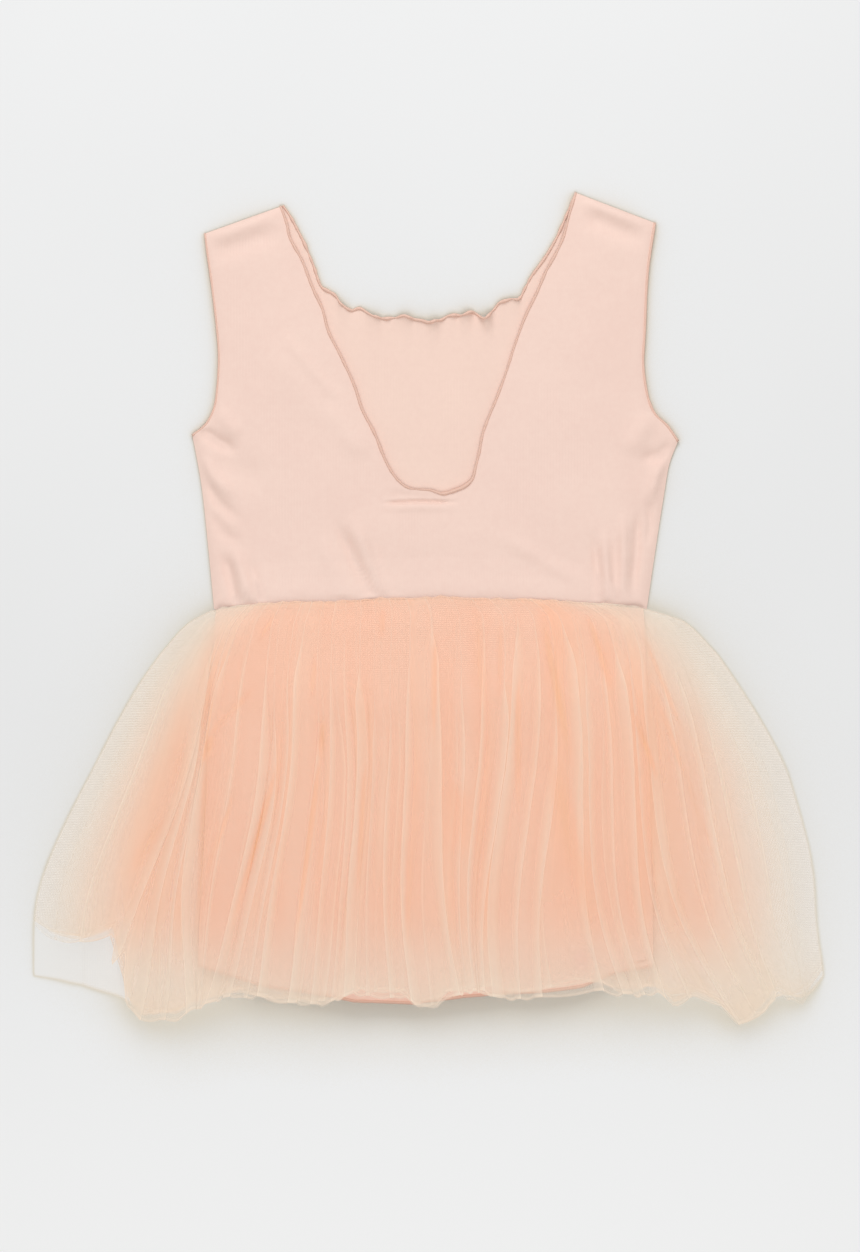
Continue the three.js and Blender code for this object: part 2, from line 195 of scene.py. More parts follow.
def makeKnitGroup():
    # fine jersey: wales along the cloth, courses across it, and a soft uneven tone
    group = bpy.data.node_groups.new("fineKnit", "ShaderNodeTree")
    side = group.interface.new_socket
    side("Vector", in_out="INPUT", socket_type="NodeSocketVector")
    side("Wale", in_out="INPUT", socket_type="NodeSocketFloat").default_value = 0.8
    side("Course", in_out="INPUT", socket_type="NodeSocketFloat").default_value = 0.6
    side("Height", in_out="OUTPUT", socket_type="NodeSocketFloat")
    side("Tone", in_out="OUTPUT", socket_type="NodeSocketFloat")
    start = addNode(group, "NodeGroupInput")
    end = addNode(group, "NodeGroupOutput")
    split = addNode(group, "ShaderNodeSeparateXYZ")
    group.links.new(start.outputs["Vector"], split.inputs[0])
    across = mathNode(group, "MULTIPLY", split.outputs[0], 1000 * math.pi)
    across = mathNode(group, "DIVIDE", across, start.outputs["Wale"])
    along = mathNode(group, "MULTIPLY", split.outputs[1], 2000 * math.pi)
    along = mathNode(group, "DIVIDE", along, start.outputs["Course"])
    wale = mathNode(group, "ABSOLUTE", mathNode(group, "SINE", across))
    course = mathNode(group, "SINE", mathNode(group, "ADD", along, mathNode(group, "MULTIPLY", wale, 2.2)))
    height = mathNode(group, "MULTIPLY_ADD", course, 0.25)
    group.links.new(wale, height.node.inputs[2])
    group.links.new(height, end.inputs["Height"])
    fine = addNode(group, "ShaderNodeTexNoise", in_Scale=260, in_Detail=2)
    broad = addNode(group, "ShaderNodeTexNoise", in_Scale=22, in_Detail=2)
    for texture in (fine, broad):
        group.links.new(start.outputs["Vector"], texture.inputs["Vector"])
    tone = mathNode(group, "ADD", mathNode(group, "MULTIPLY", fine.outputs[0], 0.45),
                    mathNode(group, "MULTIPLY", broad.outputs[0], 0.55))
    group.links.new(tone, end.inputs["Tone"])
    return group


knitGroup = makeKnitGroup()


def jerseyMaterial(look):
    material, tree, shader = newMaterial(look["name"])
    place = addNode(tree, "ShaderNodeTexCoord")
    knit = addNode(tree, "ShaderNodeGroup", node_tree=knitGroup)
    knit.inputs["Wale"].default_value = look["wale"]
    knit.inputs["Course"].default_value = look["course"]
    tree.links.new(place.outputs["UV"], knit.inputs["Vector"])
    spread = rangeNode(tree, knit.outputs["Tone"], 0.35, 0.65, 0, 1)
    colour = mixColour(tree, spread, look["dark"], look["light"])
    tree.links.new(colour, shader.inputs["Base Color"])
    bump = addNode(tree, "ShaderNodeBump", in_Strength=look["relief"], in_Distance=0.0002)
    tree.links.new(knit.outputs["Height"], bump.inputs["Height"])
    tree.links.new(bump.outputs[0], shader.inputs["Normal"])
    shader.inputs["Roughness"].default_value = 0.88
    shader.inputs["Specular IOR Level"].default_value = 0.2
    shader.inputs["Sheen Weight"].default_value = look["sheen"]
    shader.inputs["Sheen Roughness"].default_value = 0.6
    return material


def threadMaterial(look):
    # overlock thread wound round an edge
    material, tree, shader = newMaterial(look["name"])
    place = addNode(tree, "ShaderNodeTexCoord")
    split = addNode(tree, "ShaderNodeSeparateXYZ")
    tree.links.new(place.outputs["UV"], split.inputs[0])
    alongEdge = mathNode(tree, "MULTIPLY", split.outputs[0], 2000 * math.pi / look["stitch"])
    turns = mathNode(tree, "ADD", alongEdge, mathNode(tree, "MULTIPLY", split.outputs[1], look["slant"]))
    thread = mathNode(tree, "ABSOLUTE", mathNode(tree, "SINE", turns))
    tree.links.new(mixColour(tree, thread, look["dark"], look["light"]), shader.inputs["Base Color"])
    bump = addNode(tree, "ShaderNodeBump", in_Strength=0.6, in_Distance=0.0002)
    tree.links.new(thread, bump.inputs["Height"])
    tree.links.new(bump.outputs[0], shader.inputs["Normal"])
    shader.inputs["Roughness"].default_value = 0.8
    shader.inputs["Specular IOR Level"].default_value = 0.25
    return material


def netMaterial(look):
    # fine tulle: mostly air. Attribute "threads" says how many threads lie over each other where the net is
    # gathered or folded, and the warm attribute how deep in the gathers it lies: painted light, the peach of
    # light coming through there is painted into the net's colour
    material, tree, shader = newMaterial(look["name"])
    place = addNode(tree, "ShaderNodeTexCoord")
    mesh = addNode(tree, "ShaderNodeTexVoronoi", feature="DISTANCE_TO_EDGE", voronoi_dimensions="2D",
                   in_Scale=1000 / look["mesh"], in_Randomness=0.3)
    tree.links.new(place.outputs["UV"], mesh.inputs["Vector"])
    cover = rangeNode(tree, mesh.outputs[0], *look["threadWidth"], look["thread"], look["hole"])
    stretch = addNode(tree, "ShaderNodeMapping")
    stretch.inputs["Scale"].default_value = (*look["streakScale"], 1)
    tree.links.new(place.outputs["UV"], stretch.inputs[0])
    streaks = addNode(tree, "ShaderNodeTexNoise", noise_dimensions="2D", in_Scale=1, in_Detail=3)
    tree.links.new(stretch.outputs[0], streaks.inputs["Vector"])
    threads = addNode(tree, "ShaderNodeAttribute", attribute_name="threads")
    paintedWarmth = addNode(tree, "ShaderNodeAttribute", attribute_name="paintedWarmth")
    # the pattern evens out where many threads lie over each other
    even = rangeNode(tree, threads.outputs["Fac"], *look["evenBetween"], 0, 1)
    air = mathNode(tree, "SUBTRACT", look["mean"], cover)
    air = mathNode(tree, "ADD", cover, mathNode(tree, "MULTIPLY", air, even))
    uneven = mathNode(tree, "MULTIPLY", streaks.outputs[0], look["streak"])
    uneven = mathNode(tree, "ADD", uneven, 1 - look["streak"] / 2)
    layers = mathNode(tree, "MULTIPLY", uneven, threads.outputs["Fac"])
    # the net scatters light onward, so it shades what lies under it less than it hides it
    ray = addNode(tree, "ShaderNodeLightPath")
    shading = mathNode(tree, "MAXIMUM", ray.outputs["Is Shadow Ray"], ray.outputs["Is Diffuse Ray"])
    onward = mathNode(tree, "SUBTRACT", 1, mathNode(tree, "MULTIPLY", shading, look["onward"]))
    clear = mathNode(tree, "POWER", mathNode(tree, "SUBTRACT", 1, air),
                     mathNode(tree, "MULTIPLY", layers, onward))
    tree.links.new(mathNode(tree, "SUBTRACT", 1, clear), shader.inputs["Alpha"])
    # painted light and shade: pale where little light comes through, warm peach where light would come
    # through the gathers, and a darker deep orange painted as shade in the slits
    warmer = mathNode(tree, "MINIMUM", paintedWarmth.outputs["Fac"], 1)
    deeper = mathNode(tree, "SUBTRACT", paintedWarmth.outputs["Fac"], warmer)
    colour = mixColour(tree, warmer, look["pale"], look["warm"])
    tree.links.new(mixColour(tree, deeper, colour, look["deep"]), shader.inputs["Base Color"])
    shader.inputs["Roughness"].default_value = 0.9
    shader.inputs["Specular IOR Level"].default_value = 0.1
    return material


# the cloth finishes, in linear colour
finishes = {
    "jersey": {"name": "peachJersey", "dark": (0.845, 0.62, 0.535), "light": (0.868, 0.65, 0.56),
               "wale": 0.9, "course": 0.7, "relief": 0.22, "sheen": 0.05},
    "jerseyInside": {"name": "peachJerseyInside", "dark": (0.855, 0.63, 0.535), "light": (0.88, 0.655, 0.556),
                     "wale": 0.9, "course": 0.7, "relief": 0.22, "sheen": 0.05},
    "slip": {"name": "slipJersey", "dark": (0.81, 0.53, 0.42), "light": (0.85, 0.58, 0.47),
             "wale": 1.0, "course": 0.8, "relief": 0.2, "sheen": 0.1},
    "thread": {"name": "roseThread", "dark": (0.73, 0.45, 0.35), "light": (0.88, 0.61, 0.50),
               "stitch": 1.1, "slant": 1500},
    "slipThread": {"name": "slipThread", "dark": (0.66, 0.38, 0.28), "light": (0.78, 0.50, 0.39),
                   "stitch": 1.2, "slant": 1500},
    # pale, warm and deep are the net's colours with painted light in them: warm for light coming through the
    # gathers, deep for painted shade in the slits
    "net": {"name": "softTulle", "pale": (0.86, 0.73, 0.59), "warm": (0.965, 0.54, 0.36),
            "deep": (0.92, 0.50, 0.29), "mesh": 1.0, "mean": 0.18,
            "thread": 0.27, "hole": 0.125, "threadWidth": (0.04, 0.26), "evenBetween": (0.9, 1.9),
            "streak": 0.6, "streakScale": (55, 3.5), "onward": 0.8},
}
jersey = jerseyMaterial(finishes["jersey"])
jerseyInside = jerseyMaterial(finishes["jerseyInside"])
slipCloth = jerseyMaterial(finishes["slip"])
roseThread = threadMaterial(finishes["thread"])
slipThread = threadMaterial(finishes["slipThread"])
net = netMaterial(finishes["net"])
print("finishes ready")


# the bodice, from stations round its outer edge paired with stations along each neck

bodice = {
    "wall": 1.2, "gap": 0.3, "waistLift": 1.9, "waistLiftReach": 25, "puff": 1.7,
    "waistHollow": 2.2, "waistHollowReach": 32, "halfWaist": 130, "sideEase": 22,
    "columns": 360, "rows": 96, "stations": 18,
    # how far in the cloth turns down, at the waist and at other edges, and how far in each seam closes it
    "waistRound": 4.0, "edgeRound": 2.2, "stationLength": 28, "shoulderClose": 2.4, "sideClose": 2.0,
    # outer edge in smooth stretches from corner to corner: station number, x, y
    "armholeLeft": [(0, -135, 226.2), (0.5, -133.2, 212), (1, -130.8, 195), (1.6, -127.6, 167.4),
                    (2, -126.6, 152), (2.6, -127.4, 135), (3, -129.6, 120.6), (3.5, -135.1, 110.4),
                    (4, -142.6, 104.6)],
    "sideLeft": [(4, -142.6, 104.6), (4.5, -140.4, 93.6), (5, -137, 73.8), (6, -132.8, 35), (7, -129.5, 0)],
    "waist": [(7, -129.5, 0), (8, -78, 0), (9, -4, 0), (10, 66, 0), (11, 131.2, 0)],
    "sideRight": [(11, 131.2, 0), (12, 136, 33), (13, 141.4, 67.8), (13.6, 145, 88), (14, 150, 101)],
    "armholeRight": [(14, 150, 101), (14.3, 143.5, 110.2), (14.7, 136.6, 116.8), (15, 132.4, 125.6),
                     (15.4, 129, 147), (16, 129.8, 165), (17, 131.8, 204), (18, 136, 232.6)],
    "waistLine": {"across": [-132, -110, -80, -62, -45, -30, -15, 9, 24, 40, 75, 90, 105, 132],
                  "height": [-1, 1.6, 3.6, 3.4, 4.2, 5.6, 5.4, 6.6, 5.2, 5.4, 4.4, 3.0, 2.4, 0]},
    "backNeck": [(0, -89.4, 242.5), (0.6, -85.6, 231.7), (1, -84, 224), (1.5, -76.6, 210), (2, -70, 193),
                 (2.5, -64.4, 181), (3, -60.5, 167), (3.5, -53, 152), (4, -44.8, 134), (4.5, -40.2, 120),
                 (5, -32.8, 105.7), (6, -25.3, 87.5), (7, -18.9, 77.8), (8, -12.5, 73), (9, 1.4, 71.4),
                 (9.5, 7.9, 69.4), (10, 14.3, 70.9), (10.6, 21.8, 74.1), (11, 26.1, 78.4),
                 (11.5, 28.3, 86.4), (12, 30.4, 95), (12.5, 32, 104), (13, 34.7, 112.2), (13.6, 40, 125),
                 (14, 46.4, 142.2), (14.5, 51.8, 159.2), (15, 58.2, 176.4), (15.5, 65.3, 191),
                 (16, 70.4, 203), (16.6, 77, 215), (17, 80.9, 224), (17.5, 84.6, 238), (18, 88.4, 250.8)],
    "scoopNeck": [(0, -88, 243), (0.5, -83.5, 236.5), (1, -79.8, 229.6), (1.5, -74.4, 218.8),
                  (2, -69.6, 207), (3, -64.8, 194.2), (3.4, -61, 191.6), (4, -56.2, 188.8),
                  (4.5, -52.5, 183.6), (5, -48.7, 180.8), (5.5, -40, 180.2), (6, -33.6, 177.1),
                  (6.5, -28.2, 174.4), (7.2, -19, 175.8), (8, -12.2, 175.6), (8.6, -5, 173.2),
                  (9, 0.6, 172.8), (9.4, 6.4, 174.4), (9.8, 13, 176.6), (10.2, 21.4, 177.6),
                  (10.6, 28.4, 177.8), (11, 34.2, 175.4), (11.4, 38.4, 178.8), (12, 42.8, 184.6),
                  (12.5, 48.2, 186.1), (13, 54, 187), (13.5, 57.6, 193), (14, 61.4, 200),
                  (15, 69.6, 211.3), (16, 77, 224), (17, 83.6, 239), (18, 88.4, 250.8)],
    # loose waves of the stretched front neck: across, reach, rise
    "neckWaves": [(-52, 6, 1.2), (-43, 6, -0.6), (-33, 6, 2.2), (-24, 5, 0.2), (-14, 6, 2.4),
                  (-5, 5, 0.4), (3, 6, 3.2), (12, 5, 0.4), (22, 6, 2.2), (34, 6, 3.6), (44, 5, 0.6),
                  (52, 5, 1.6)],
    # creases of the back: x, y at start, middle and end, half width, depth (a ridge where it is above zero)
    "creases": [
        ((-134, 213), (-112, 220.5), (-86, 229), 7.0, -1.1),
        ((-134, 222), (-112, 230), (-88, 238), 6.0, 0.9), ((92, 238), (111, 230), (133, 220), 6.5, -1.4),
        ((92, 247), (111, 239.5), (131, 230), 5.5, 1.1),
        ((-139, 109), (-128, 101), (-114, 94), 4.0, -1.6), ((-130, 94), (-114, 84), (-96, 76), 9.0, -0.8),
        ((-139, 92), (-128, 78), (-116, 66), 4.5, 1.2), ((-137, 79), (-127, 64), (-112, 52), 3.5, -1.1),
        ((-135, 60), (-124, 46), (-113, 38), 4.0, -0.9), ((-124, 34), (-119, 16), (-113, -6), 3.0, -1.3),
        ((-118, 38), (-112, 20), (-105, -6), 3.5, 1.2), ((-108, 30), (-103, 14), (-98, -6), 2.6, -0.7),
        ((-90, 168), (-68, 141), (-46, 118), 3.6, 0.5), ((-98, 160), (-77, 132), (-54, 107), 10.0, 0.55),
        ((-60, 126), (-50, 104), (-34, 92), 7.0, 0.8), ((-56, 54), (-43, 25), (-27, -6), 3.4, -1.5),
        ((-47, 58), (-35, 27), (-19, -6), 4.4, 1.3), ((-37, 46), (-28, 20), (-14, -6), 3.4, -1.0),
        ((-66, 44), (-56, 20), (-46, -6), 5.0, 0.7), ((-28, 64), (-6, 64.8), (18, 64.4), 0.95, -1.6),
        ((-29, 60.6), (-6, 61.4), (19, 61), 2.6, 0.45), ((-30, 68), (-8, 69), (12, 68.5), 3.0, -0.4),
        ((40, 46), (70, 28), (100, 12), 5.0, 0.7), ((99, 46), (101.5, 20), (102, -8), 2.6, -0.9),
        ((105, 50), (107, 20), (107.5, -8), 3.0, 1.2), ((113, 46), (113, 20), (112, -8), 3.0, -0.6),
        ((117, 60), (117, 32), (115, 4), 3.4, 1.2), ((126, 62), (125, 34), (122, 4), 2.8, -1.2),
        ((148, 99), (139, 92), (126, 90), 3.6, -1.4), ((146, 90), (137, 80), (131, 62), 4.2, 1.3),
        ((132, 66), (134, 50), (131, 36), 3.0, -0.9), ((133, 118), (126, 104), (118, 92), 6.0, 1.0),
        ((-128, 122), (-120, 110), (-112, 104), 5.0, 0.8),
    ],
    "creaseShare": 1.7, "seamHeight": 0.85, "waistDrop": 1.5, "backArea": 0.046, "frontArea": 0.058,
}


def stretchPoint(stretch, station):
    # point of a list of (station, x, y) at a station number, on a smooth curve
    numbers = [row[0] for row in stretch]
    place = float(np.interp(station, numbers, range(len(numbers))))
    return curvePoint([(x, y, 0) for _, x, y in stretch], place)


def waistHeight(across):
    return read(bodice["waistLine"], "across", "height", across)


def outerPoint(station):
    for stretch in ("armholeLeft", "sideLeft", "waist", "sideRight", "armholeRight"):
        if station <= bodice[stretch][-1][0]:
            break
    point = stretchPoint(bodice[stretch], station)
    if stretch == "waist":
        point.y = waistHeight(point.x)
    return point


stationShares = [i / bodice["columns"] * bodice["stations"] for i in range(bodice["columns"] + 1)]
outerLine = [outerPoint(station) for station in stationShares]
backNeckLine = [stretchPoint(bodice["backNeck"], station) for station in stationShares]
scoopLine = [stretchPoint(bodice["scoopNeck"], station) for station in stationShares]
for point in scoopLine:  # the overlocked edge is stretched, so it runs in small uneven waves
    if abs(point.x) < 62:
        point.y += 1.5 * ripple(point.x, 0, 5.8, 5.5) * smooth(62 - abs(point.x), 0, 10)


def insideSides(x):
    return smooth(bodice["halfWaist"] - abs(x), 0, bodice["sideEase"])


def frontLift(x, y):
    above = y - waistHeight(x)
    return bodice["waistLift"] * max(0.0, 1 - above / bodice["waistLiftReach"]) * insideSides(x)


def creaseDepth(creases, x, y):
    here = Vector((x, y))
    depth = 0.0
    for start, middle, end, width, rise in creases:
        if abs(x - middle[0]) > 45 or abs(y - middle[1]) > 45:
            continue
        best, share = 1e9, 0.0
        for first, second, base in ((start, middle, 0.0), (middle, end, 0.5)):
            line = Vector(second) - Vector(first)
            t = min(1.0, max(0.0, (here - Vector(first)).dot(line) / line.length_squared))
            away = (here - Vector(first) - line * t).length
            if away < best:
                best, share = away, base + t / 2
        fade = smooth(share, -0.05, 0.3) * smooth(1 - share, -0.05, 0.35)
        depth += rise * fade * math.exp(-((best / width) ** 2))
    return depth


def bodicePlace(neckLine, height):
    # from shares, round the bodice and out from the neck, to a point and its place on the cloth
    def place(across, along):
        i = min(int(round(across * bodice["columns"])), bodice["columns"])
        neck, outer = neckLine[i], outerLine[i]
        share = along ** 0.9
        x, y = mix(neck.x, outer.x, share), mix(neck.y, outer.y, share)
        z = height(x, y, share, (outer - neck).length, stationShares[i])
        return (x, y, z), (x, y)
    return place


def edgeRound(share, length, station):
    # how far the cloth turns down towards its seams: 1 at the seam, 0 well inside
    reach = bodice["waistRound"] if 7 <= station <= 11 else bodice["edgeRound"]
    return math.exp(-(1 - share) * length / reach)


def seamed(z, share, length, station, height):
    # brings the cloth down to the seam at the shoulders and the sides, where both panels are sewn together
    fromShoulder = min(station, bodice["stations"] - station) * bodice["stationLength"]
    atLeft = smooth(station, 3.9, 4.1) * smooth(7.2, station, station + 0.2)
    atRight = smooth(station, 10.8, 11) * smooth(14.1, station, station + 0.2)
    atSide = min(1.0, atLeft + atRight) * math.exp(-(1 - share) * length / bodice["sideClose"])
    closed = max(math.exp(-fromShoulder / bodice["shoulderClose"]), atSide)
    return mix(z, height, closed)


def backHeight(x, y, share, length, station):
    low = frontLift(x, y) + bodice["wall"] + bodice["gap"] + 0.7
    above = y - waistHeight(x)
    hollow = bodice["waistHollow"] * (1 - smooth(above, 0, bodice["waistHollowReach"])) * insideSides(x)
    puff = bodice["puff"] * math.sin(math.pi * share) ** 0.8
    fromWaist = smooth(above, -1, 6)
    folds = bodice["creaseShare"] * creaseDepth(bodice["creases"], x, y) * (0.35 + 0.65 * fromWaist)
    uneven = 0.5 * ripple(x, y, 34, 1.3) + 0.18 * ripple(x, y, 11, 4.1)
    inner = smooth((1 - share) * length, 0, 7) * smooth(share * length, 0, 6)
    atWaist = 1 - smooth(above, 0, 3)
    full = (hollow + puff + math.sqrt((hollow - puff) ** 2 + 0.4)) / 2
    z = low + full + (folds + uneven) * max(inner, 0.6 * atWaist * insideSides(x))
    drop = 0.9 + (bodice["waistDrop"] if 7 <= station <= 11 else 0)
    z = max(z - drop * edgeRound(share, length, station), frontLift(x, y) + bodice["wall"])
    return seamed(z, share, length, station, bodice["seamHeight"] + 0.1)


def frontHeight(x, y, share, length, station):
    rise = frontLift(x, y) + 0.9 + 0.25 * ripple(x, y, 40, 7.7) * smooth(share * length, 0, 20)
    atNeck = math.exp(-share * length / 6)
    rise += 1.1 * atNeck * (0.35 + ripple(x, 0, 4.2, 2.2)) * smooth(60 - abs(x), 0, 8)
    for across, reach, wave in bodice["neckWaves"]:
        away = abs(x - across) / reach
        if away < 1:
            rise += wave * atNeck * 0.5 * (1 + math.cos(math.pi * away)) * smooth(60 - abs(x), 0, 8)
    rise = max(0.35, rise - 0.35 * edgeRound(share, length, station))
    return seamed(rise, share, length, station, bodice["seamHeight"])


backPlace = bodicePlace(backNeckLine, backHeight)
frontPlace = bodicePlace(scoopLine, frontHeight)
bodiceBack = clothSheet("bodiceBack", bodice["columns"], bodice["rows"], backPlace, jersey)
bodiceFront = clothSheet("bodiceFront", bodice["columns"], bodice["rows"], frontPlace, jerseyInside)
print("bodice panels ready")


def edgePath(place, first, last, along, lift=0.0):
    # the edge of a panel from one station to another, as points for a rolled edge
    path = []
    for i in range(bodice["columns"] + 1):
        if first <= stationShares[i] <= last:
            x, y, z = place(i / bodice["columns"], along)[0]
            path.append((x, y, z + lift))
    return path


rolls = {
    "neckThickness": ((0, 1), (0.38, 1), (0.43, 0.8), (0.465, 0.45), (0.49, 0.7), (0.53, 1.5), (0.58, 1.4),
                      (0.63, 1), (0.8, 0.85), (1, 1)),
    "neck": 0.72, "scoop": 0.8, "armhole": 0.6, "armholeRight": 0.8, "armholeUnder": 0.7, "slipHem": 0.9,
    "lift": 0.1, "scoopUneven": 0.75, "uneven": 0.4,
}
neckRoll = rolledEdge("neckRoll", edgePath(backPlace, 0, 18, 0, rolls["lift"]), rolls["neck"], roseThread,
                      uneven=rolls["uneven"], thickness=rolls["neckThickness"])
scoopRoll = rolledEdge("scoopRoll", edgePath(frontPlace, 0, 18, 0, rolls["lift"]), rolls["scoop"], roseThread,
                       uneven=rolls["scoopUneven"])
backArms = (("armRollBackLeft", 0, 4, rolls["armhole"]), ("armRollBackRight", 14, 18, rolls["armholeRight"]))
armRolls = [rolledEdge(name, edgePath(backPlace, first, last, 1, rolls["lift"]), radius, roseThread)
            for name, first, last, radius in backArms]
underArm = rolls["armhole"] * rolls["armholeUnder"]
frontArmRolls = [rolledEdge(name, edgePath(frontPlace, first, last, 1), underArm, roseThread)
                 for name, first, last in (("armRollFrontLeft", 0, 4), ("armRollFrontRight", 14, 18))]
print("rolled edges ready")


# the skirt: three nets in front, a slip, three nets behind, in the order they lie

skirt = {
    "netWall": 1.0, "gap": 0.3, "lowerLoft": 1.2, "upperLoft": 3.4, "loftReach": 60, "domePower": 2.5,
    "slipBlock": 3.9, "swayReach": 45, "pinchReach": 14, "pinchHeight": 1.8,
    "pinchStep": 0.75, "rows": 62, "levels": (0, 110, 235),
    "sides": {"down": [0, 6, 12, 28, 45, 70, 95, 118, 140, 160, 175, 190, 220, 260],
              "left": [-131.2, -142.8, -149.8, -163, -174.8, -189, -201.8, -213.8, -224.5, -232.6, -236.8,
                       -238.2, -238.2, -238.2],
              "right": [131.4, 152, 159.8, 174.6, 186.2, 202, 215.2, 222, 228.3, 231.8, 232.8, 233.2, 238,
                        238]},
    # how the gathered width fans out, in shares of the width at the waist, half way down and at the hem
    "fan": {"waist": [0, 0.1, 0.2, 0.3, 0.5, 0.7, 0.8, 0.9, 1],
            "middle": [0, 0.169, 0.278, 0.378, 0.495, 0.626, 0.724, 0.805, 1],
            "hem": [0, 0.185, 0.263, 0.378, 0.51, 0.613, 0.763, 0.874, 1]},
    "layers": [
        {"name": "tulleOuterFront", "node": "tulle_outer_front", "lines": 20, "shorter": 0, "hem": "far",
         "seed": 3, "level": 0, "panel": 6, "turn": 4, "overlap": 6, "crisp": 0.4},
        {"name": "tulleMiddleFront", "node": "tulle_middle_front", "lines": 17, "shorter": 3, "hem": "inner",
         "seed": 14, "level": 1, "panel": 6, "turn": 4, "overlap": 5, "crisp": 0.4},
        {"name": "tulleInnerFront", "node": "tulle_inner_front", "lines": 15, "shorter": 4.5, "hem": "inner",
         "seed": 25, "level": 2, "panel": 6, "turn": 4, "overlap": 5, "crisp": 0.4},
        {"name": "tulleInnerBack", "node": "tulle_inner_back", "lines": 16, "shorter": 3.5, "hem": "inner",
         "seed": 36, "level": 3, "panel": 8, "turn": 6, "overlap": 5, "crisp": 0.4},
        {"name": "tulleMiddleBack", "node": "tulle_middle_back", "lines": 21, "shorter": 2, "hem": "inner",
         "seed": 47, "level": 4, "panel": 8, "turn": 6, "overlap": 6, "crisp": 0.5},
        {"name": "tulleOuterBack", "node": "tulle_outer_back", "lines": 0, "shorter": 0, "hem": "near",
         "seed": 58, "level": 5, "panel": 10, "turn": 8, "overlap": 8, "crisp": 1},
    ],
    # fold lines of the upper net: across at the waist, half way down and at the hem, and how strong it is
    "outerFolds": [
        (-127, -196, -226, 0.3), (-122, -180, -213, 0.4), (-114, -151, -201, 0.9),
        (-110, -147, -174, 0.8), (-107, -140, -158, 0.4), (-103, -135, -142, 1.0), (-96, -118, -137, 0.4),
        (-88, -100, -130, 0.7), (-84, -95, -122, 0.8), (-76, -88, -110, 0.4), (-70, -81.6, -100, 0.6),
        (-63, -66, -81.6, 1.0), (-56, -57, -68, 0.5), (-50, -46.2, -57, 0.5), (-41, -40, -48.3, 0.8),
        (-33, -32, -36, 0.4), (-24, -23, -21, 0.5), (-14, -12, -7.2, 0.6), (-3, 4.2, 18, 0.9),
        (12, 19, 23.5, 0.4), (25, 30, 28.5, 0.4), (36, 39.6, 33, 0.8), (44, 47.4, 42.6, 0.9),
        (52, 60, 54, 0.5), (60, 72, 65.4, 0.8), (66, 88, 104, 1.0), (75, 98, 121, 0.5),
        (83, 108, 130, 0.4), (90, 119, 140.4, 1.0), (97, 128, 158, 0.5), (104, 137, 178, 0.8),
        (110, 150, 191, 0.5), (115, 164, 204, 0.7), (120, 178, 211, 0.4), (124, 191, 218, 0.6),
        (128, 205, 228, 0.3)],
    # deep slits between the gathers: x and distance below the waist at both ends, half width, strength
    "slits": [
        (-104, 47, -130, 74, 2.6, 0.5), (-130, 75, -133, 91, 2.4, 0.9), (-133, 90, -137, 190, 2.4, 0.6),
        (-91, 95, -113, 176, 2.0, 0.9), (-63, 65, -64, 88, 2.4, 1.0), (-65, 88, -79, 194, 1.8, 0.9),
        (-38, 95, -42, 164, 1.7, 0.8), (3.6, 18, 2.4, 76, 2.0, 0.7), (-68, 27, -70, 55, 2.0, 0.5),
        (-28, 5, -28, 20, 1.8, 0.6), (-94, 8, -101, 20, 1.8, 0.5), (29, 6, 31, 55, 2.8, 0.5),
        (43, 10, 42, 50, 2.2, 0.6), (53, 42, 53, 115, 1.8, 0.7), (68, 7, 83, 84, 3.2, 0.9),
        (95, 6, 107, 43, 2.6, 1.0), (122, 62, 135, 98, 1.8, 0.8), (127, 14, 152, 74, 2.0, 0.5),
        (74, 90, 95, 184, 6.5, 0.5), (17, 102, 20, 145, 9.0, 0.35), (-115, 108, -134, 161, 2.0, 0.5),
        (-11, 138, -13, 195, 2.2, 0.4), (-160, 124, -176, 156, 3.8, 0.6), (134, 46, 170, 148, 1.8, 0.5)],
    "hems": {"across": [-238.4, -226, -207, -189, -181, -173, -150, -142, -113, -82, -64, -45, -14, -8, 4,
                        9, 20, 32, 43, 58, 79, 103, 113, 124, 137, 146, 159, 174, 183, 199, 211, 215, 224,
                        230, 238.2],
             "near": [190, 197, 200.5, 193, 237, 246, 244, 238, 231, 236, 237, 229.5, 230.5, 237, 237,
                      231, 228, 229, 231.5, 230.2, 228.4, 225.7, 230.6, 231.4, 228, 236, 230.5, 237,
                      250.6, 242, 230, 235, 236.5, 230, 220]},
    "cornerNet": {"across": [-238.4, -226, -207, -189, -181], "down": [220, 221.5, 229, 232, 234]},
    "fullness": 1.25, "lapMiddle": 1.2, "lapEdge": 2.0, "lapLine": 0.9, "thinSpot": (91, 209, 9),
    "outline": {"left": 46, "right": 62, "thin": 0.22}, "flat": (0.5, 0.235),
}
slip = {
    "wall": 1.0, "rest": 0.45, "puff": 0.4, "columns": 90, "rows": 70,
    "sides": {"down": [0, 12, 45, 95, 140, 175, 240], "left": [-128, -129, -131, -133, -135, -137, -140],
              "right": [129, 129.5, 130.5, 132, 133, 134, 135]},
    "hem": {"across": [-140, -100, -60, -45, -9, 20, 45, 70, 92, 100, 112, 135],
            "down": [213.6, 226, 232, 235, 236.4, 232.4, 230.4, 229.2, 226.4, 223, 218, 214]},
    "overNets": 0.55, "pinched": 0.4, "flat": (0.27, 0.232),
}


def sideAt(down, side, ease=9):
    # eased between the stations of the table, less so near the waist where the outline turns fast
    reach = np.clip((down - 20) / 3, 0, ease)
    sides = skirt["sides"]
    around = read(sides, "down", side, down - reach) + read(sides, "down", side, down + reach)
    return (around + 2 * read(sides, "down", side, down)) / 4


def seamSway(across, down):
    return waistHeight(across) * np.maximum(0.0, 1 - down / skirt["swayReach"])


def loft(height, share, down):
    dome = np.maximum(0.0, 1 - np.abs(2 * share - 1) ** skirt["domePower"])
    ease = 1 - np.maximum(0.0, down - 140) / 400
    return height * dome * ease * smooth(down, 0, skirt["loftReach"])


